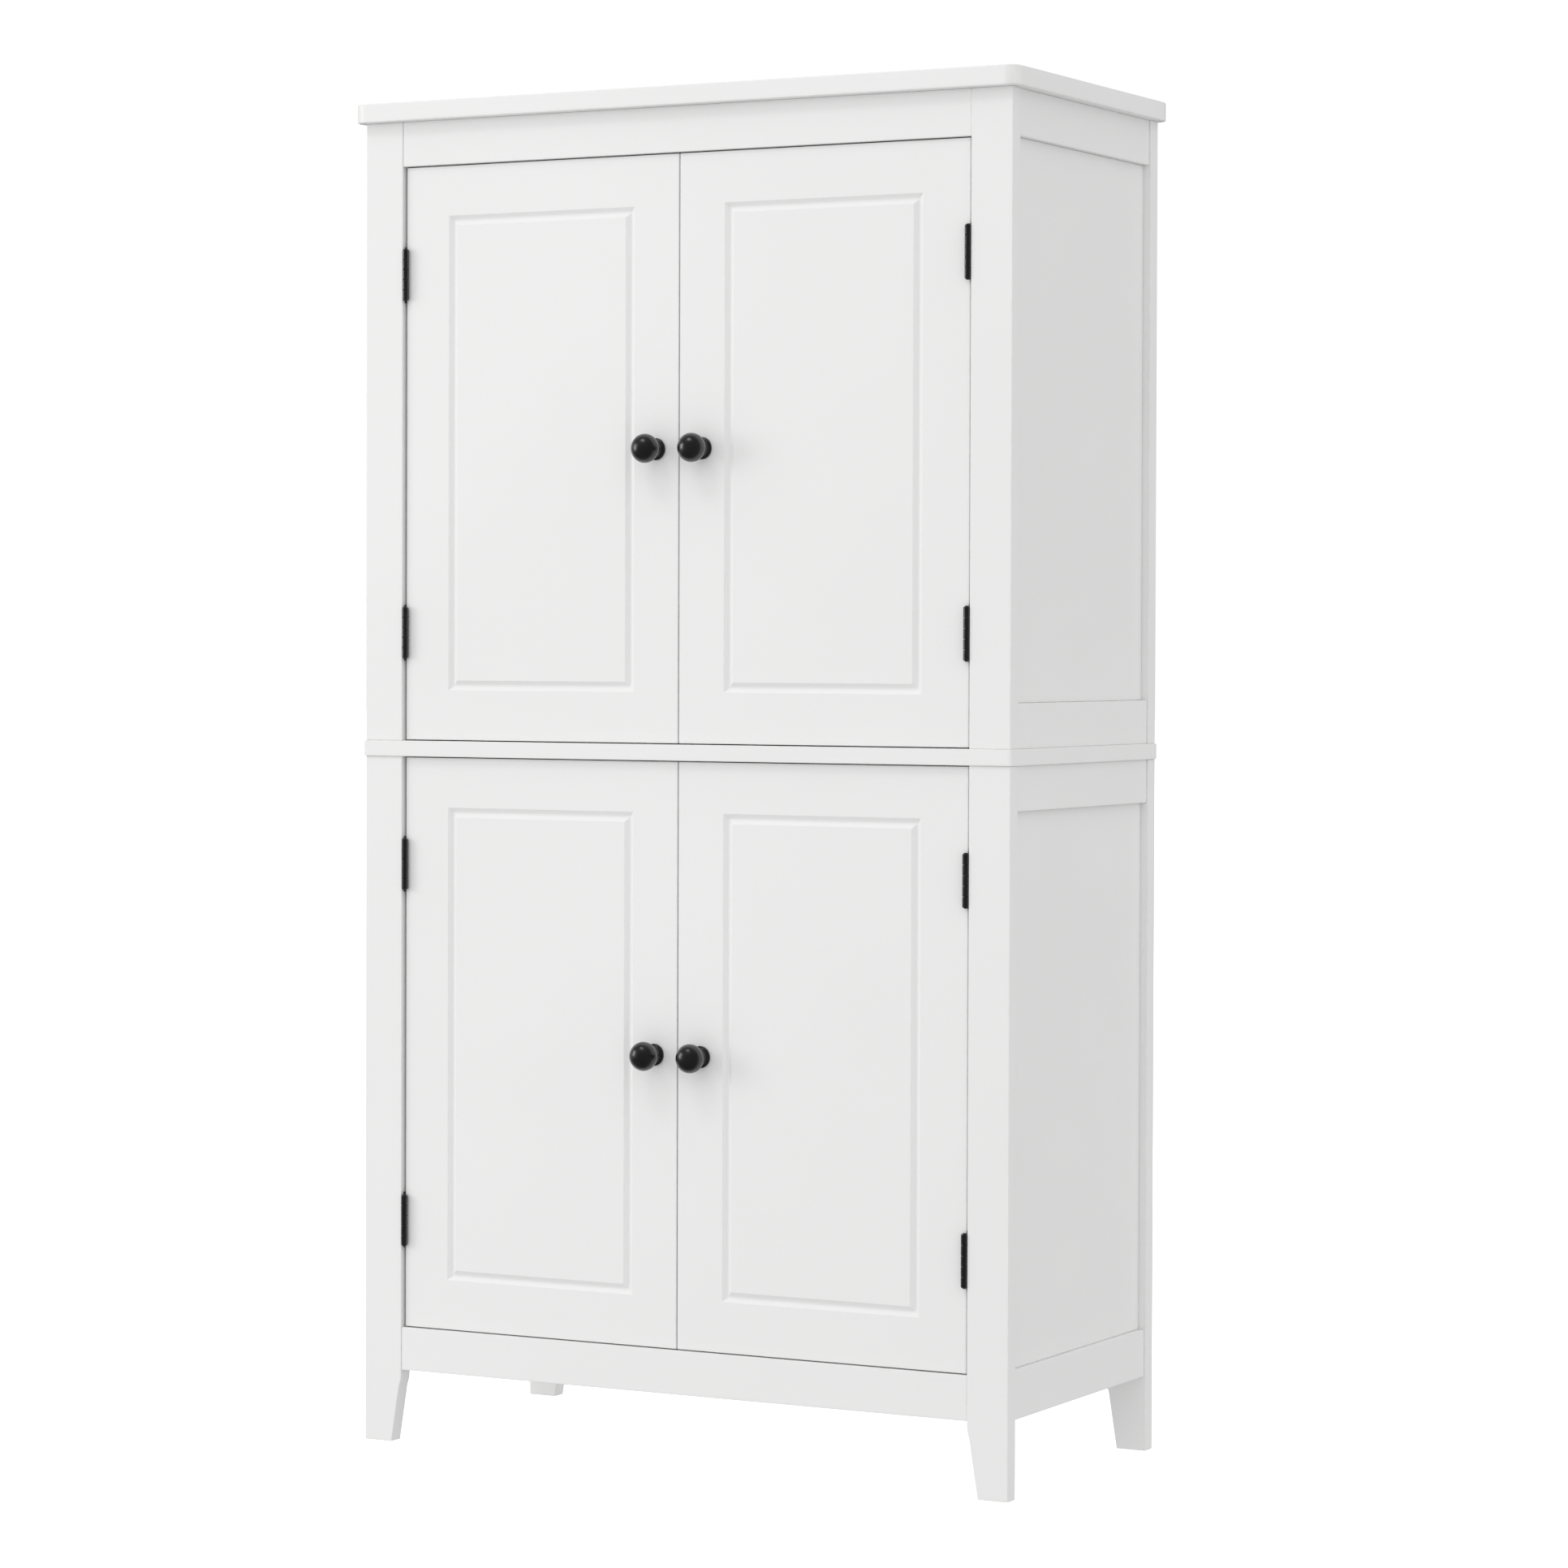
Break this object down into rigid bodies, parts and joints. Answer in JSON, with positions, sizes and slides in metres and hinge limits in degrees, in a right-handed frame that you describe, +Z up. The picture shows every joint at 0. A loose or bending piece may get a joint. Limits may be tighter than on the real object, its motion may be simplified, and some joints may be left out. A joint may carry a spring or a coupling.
{
  "type": "pantry cabinet",
  "caption": "Tall white pantry cabinet: two stacked units on tapered board legs, with inset grooved doors, ball knobs and butt hinges.",
  "frame": {"origin": "middle of the bounding box, on the floor under the feet", "axes": "+Z up, +X towards the cabinet's right as seen from the front, the doors face -Y"},
  "size_m": [0.7, 0.356, 1.28],
  "materials": {
    "white_paint": "satin white paint over board",
    "back_board": "thin white-faced board",
    "black_metal": "satin black",
    "catch_plastic": "moulded white plastic"
  },
  "bodies": {
    "carcass": {"top_board": "white_paint", "mid_board": "white_paint", "bottom_board": "white_paint", "front_apron": "white_paint", "front_rail": "white_paint", "rear_rail": "white_paint", "leg_upper_front_left": "white_paint", "leg_upper_front_right": "white_paint", "leg_upper_rear_left": "white_paint", "leg_upper_rear_right": "white_paint", "leg_lower_front_left": "white_paint", "leg_lower_front_right": "white_paint", "leg_lower_rear_left": "white_paint", "leg_lower_rear_right": "white_paint", "side_head_upper_left": "white_paint", "side_sill_upper_left": "white_paint", "side_panel_upper_left": "white_paint", "side_head_upper_right": "white_paint", "side_sill_upper_right": "white_paint", "side_panel_upper_right": "white_paint", "side_head_lower_left": "white_paint", "side_sill_lower_left": "white_paint", "side_panel_lower_left": "white_paint", "side_head_lower_right": "white_paint", "side_sill_lower_right": "white_paint", "side_panel_lower_right": "white_paint", "shelf_upper": "white_paint", "shelf_lower": "white_paint", "back_panel_upper": "back_board", "back_panel_lower": "back_board", "catch_upper": "catch_plastic", "catch_lower": "catch_plastic", "hinge_frame_leaf_upper_left_top": "black_metal", "hinge_frame_leaf_upper_left_low": "black_metal", "hinge_frame_leaf_upper_right_top": "black_metal", "hinge_frame_leaf_upper_right_low": "black_metal", "hinge_frame_leaf_lower_left_top": "black_metal", "hinge_frame_leaf_lower_left_low": "black_metal", "hinge_frame_leaf_lower_right_top": "black_metal", "hinge_frame_leaf_lower_right_low": "black_metal"},
    "door_upper_left": {"door_upper_left": "white_paint", "knob_upper_left": "black_metal", "strike_plate_upper_left": "black_metal", "hinge_door_leaf_upper_left_top": "black_metal", "hinge_door_leaf_upper_left_low": "black_metal"},
    "door_upper_right": {"door_upper_right": "white_paint", "knob_upper_right": "black_metal", "strike_plate_upper_right": "black_metal", "hinge_door_leaf_upper_right_top": "black_metal", "hinge_door_leaf_upper_right_low": "black_metal"},
    "door_lower_left": {"door_lower_left": "white_paint", "knob_lower_left": "black_metal", "strike_plate_lower_left": "black_metal", "hinge_door_leaf_lower_left_top": "black_metal", "hinge_door_leaf_lower_left_low": "black_metal"},
    "door_lower_right": {"door_lower_right": "white_paint", "knob_lower_right": "black_metal", "strike_plate_lower_right": "black_metal", "hinge_door_leaf_lower_right_top": "black_metal", "hinge_door_leaf_lower_right_low": "black_metal"}
  },
  "joints": [
    {"name": "upper_left_door_hinge", "type": "hinge", "parent": "carcass", "child": "door_upper_left", "pos_m": [-0.2978, -0.1493, 0.946], "axis": [0, 0, -1], "range_deg": [0, 180]},
    {"name": "upper_right_door_hinge", "type": "hinge", "parent": "carcass", "child": "door_upper_right", "pos_m": [0.2978, -0.1493, 0.946], "axis": [0, 0, 1], "range_deg": [0, 180]},
    {"name": "lower_left_door_hinge", "type": "hinge", "parent": "carcass", "child": "door_lower_left", "pos_m": [-0.2978, -0.1493, 0.384], "axis": [0, 0, -1], "range_deg": [0, 180]},
    {"name": "lower_right_door_hinge", "type": "hinge", "parent": "carcass", "child": "door_lower_right", "pos_m": [0.2978, -0.1493, 0.384], "axis": [0, 0, 1], "range_deg": [0, 180]}
  ]
}
